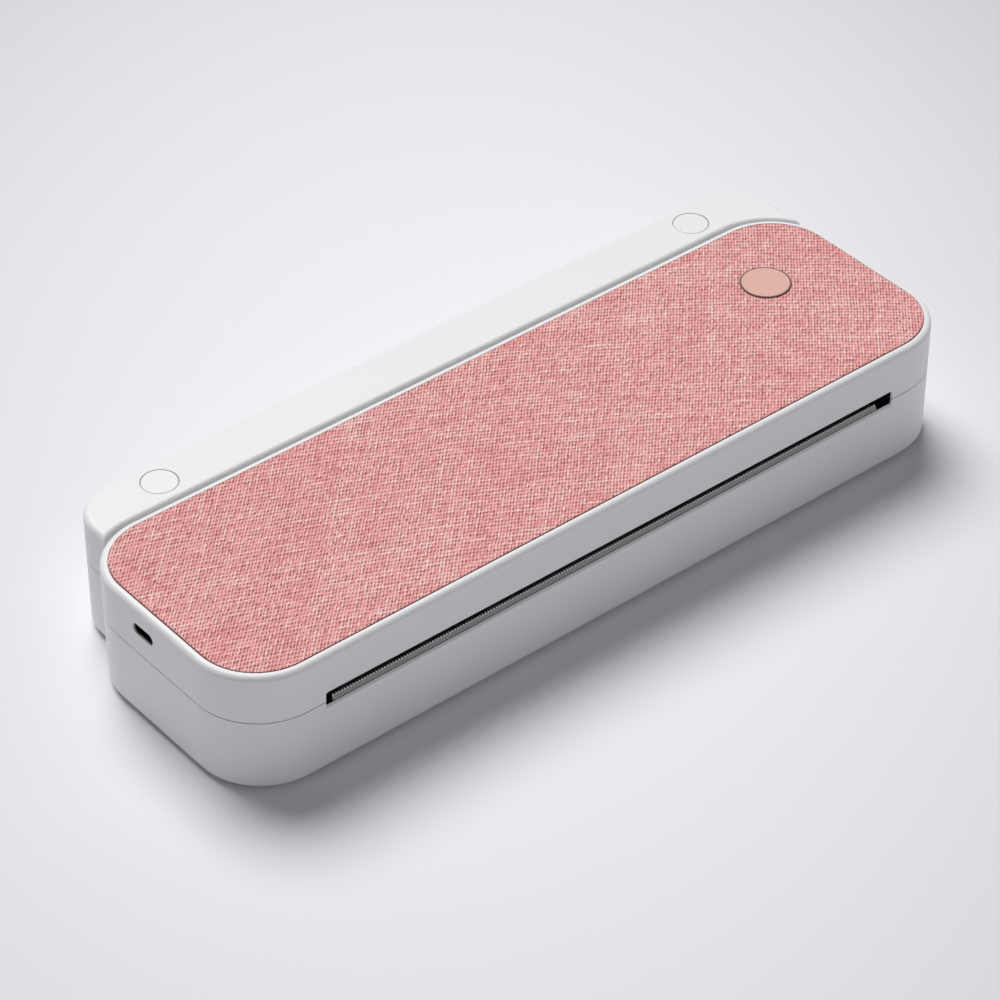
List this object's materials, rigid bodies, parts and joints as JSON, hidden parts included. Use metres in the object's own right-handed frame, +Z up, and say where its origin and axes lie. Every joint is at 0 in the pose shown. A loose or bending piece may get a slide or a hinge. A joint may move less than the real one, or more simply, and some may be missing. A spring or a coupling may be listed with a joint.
{
  "type": "portable thermal printer",
  "caption": "Flat rounded box printer for A4 thermal paper: hinged cover with fabric top, front tear bar, platen and print head inside, roll holder sliding out behind.",
  "frame": {"origin": "on the table under the middle of the object's box", "axes": "+X along the length towards the power button end, +Y to the roll holder, +Z up"},
  "size_m": [0.27, 0.1012, 0.0418],
  "materials": {
    "white_shell": "fine satin grain",
    "rose_fabric": "woven melange",
    "panel_board": "plain",
    "patch": "satin",
    "rubber": "matte",
    "roller_rubber": "ground",
    "cutter_steel": "brushed",
    "sheet_steel": "zinc plated",
    "turned_steel": "turned",
    "screw_steel": "blackened",
    "spring_steel": "bright",
    "brass_bush": "satin",
    "gear_plastic": "natural",
    "motor_can": "drawn",
    "black_plastic": "fine grain",
    "cell_wrap": "shrink wrap",
    "grey_plastic": "fine grain",
    "arm_plastic": "satin",
    "green_board": "lacquered",
    "port_metal": "plated",
    "light_pipe": "frosted",
    "head_ceramic": "glazed",
    "head_aluminium": "extruded",
    "button_white": "satin"
  },
  "bodies": {
    "base": {"lower_case": "white_shell", "base_feet": "rubber", "tear_bar": "cutter_steel", "tear_bar_screws": "screw_steel", "print_frame": "sheet_steel", "frame_screws": "screw_steel", "platen_bushes": "brass_bush", "idler_pin": "turned_steel", "motor": "motor_can", "motor_screws": "screw_steel", "lower_paper_guide": "black_plastic", "guide_screws": "screw_steel", "paper_sensor": "black_plastic", "battery_cells": "cell_wrap", "battery_cradle": "black_plastic", "slide_channels": "grey_plastic", "hinge_tracks": "sheet_steel"},
    "cover": {"upper_case": "white_shell", "top_panel": "panel_board", "fabric_cover": "rose_fabric", "round_patch": "patch", "hinge_arms": "sheet_steel", "hinge_pins": "turned_steel", "head_bracket": "sheet_steel", "head_pivot_pins": "turned_steel", "cover_screws": "screw_steel", "upper_paper_guide": "black_plastic", "upper_guide_screws": "screw_steel", "main_board": "green_board", "board_screws": "screw_steel", "board_chips": "black_plastic", "usb_c_port": "port_metal", "power_switch": "black_plastic", "switch_board": "green_board", "status_light": "light_pipe", "head_springs": "spring_steel"},
    "head": {"print_head": "head_ceramic", "head_heatsink": "head_aluminium"},
    "power_key": {"power_button": "button_white"},
    "platen": {"platen_shaft": "turned_steel", "platen_roller": "roller_rubber", "platen_gear": "gear_plastic"},
    "idler": {"idler_gear": "gear_plastic"},
    "pinion": {"motor_pinion": "turned_steel"},
    "roll_holder": {"holder_upper": "white_shell", "holder_lower": "white_shell", "holder_arms": "arm_plastic", "holder_screws": "screw_steel", "holder_feet": "rubber", "left_release_spring": "spring_steel", "right_release_spring": "spring_steel"},
    "left_release": {"left_release_button": "button_white"},
    "right_release": {"right_release_button": "button_white"}
  },
  "joints": [
    {"name": "cover_hinge", "type": "hinge", "parent": "base", "child": "cover", "pos_m": [0, 0.03103, 0.0415], "axis": [-1, 0, 0], "range_deg": [0, 50]},
    {"name": "head_pivot", "type": "hinge", "parent": "cover", "child": "head", "pos_m": [0, -0.02073, 0.0303], "axis": [-1, 0, 0], "range_deg": [0, 1.5], "stiffness_Nm_per_rad": 5, "springref_deg": -2.86, "deforming": ["head_springs"]},
    {"name": "power_press", "type": "slide", "parent": "cover", "child": "power_key", "axis": [-1, 0, 0], "range_m": [0, 0.0004], "stiffness_N_per_m": 500, "springref_m": -0.0005},
    {"name": "platen_turn", "type": "hinge", "parent": "base", "child": "platen", "pos_m": [0, -0.03773, 0.02], "axis": [1, 0, 0], "continuous": true},
    {"name": "idler_turn", "type": "hinge", "parent": "base", "child": "idler", "pos_m": [0, -0.02671, 0.01705], "axis": [1, 0, 0], "continuous": true},
    {"name": "motor_turn", "type": "hinge", "parent": "base", "child": "pinion", "pos_m": [0, -0.01535, 0.0132], "axis": [1, 0, 0], "continuous": true},
    {"name": "holder_slide", "type": "slide", "parent": "base", "child": "roll_holder", "axis": [0, 1, 0], "range_m": [0, 0.036]},
    {"name": "left_release_press", "type": "slide", "parent": "roll_holder", "child": "left_release", "axis": [0, 0, -1], "range_m": [0, 0.0015], "stiffness_N_per_m": 600, "springref_m": -0.002, "deforming": ["left_release_spring"]},
    {"name": "right_release_press", "type": "slide", "parent": "roll_holder", "child": "right_release", "axis": [0, 0, -1], "range_m": [0, 0.0015], "stiffness_N_per_m": 600, "springref_m": -0.002, "deforming": ["right_release_spring"]}
  ],
  "couplings": [
    {"joint": "idler_turn", "follows": "platen_turn", "ratio": -2.1667},
    {"joint": "motor_turn", "follows": "platen_turn", "ratio": 6.5}
  ]
}
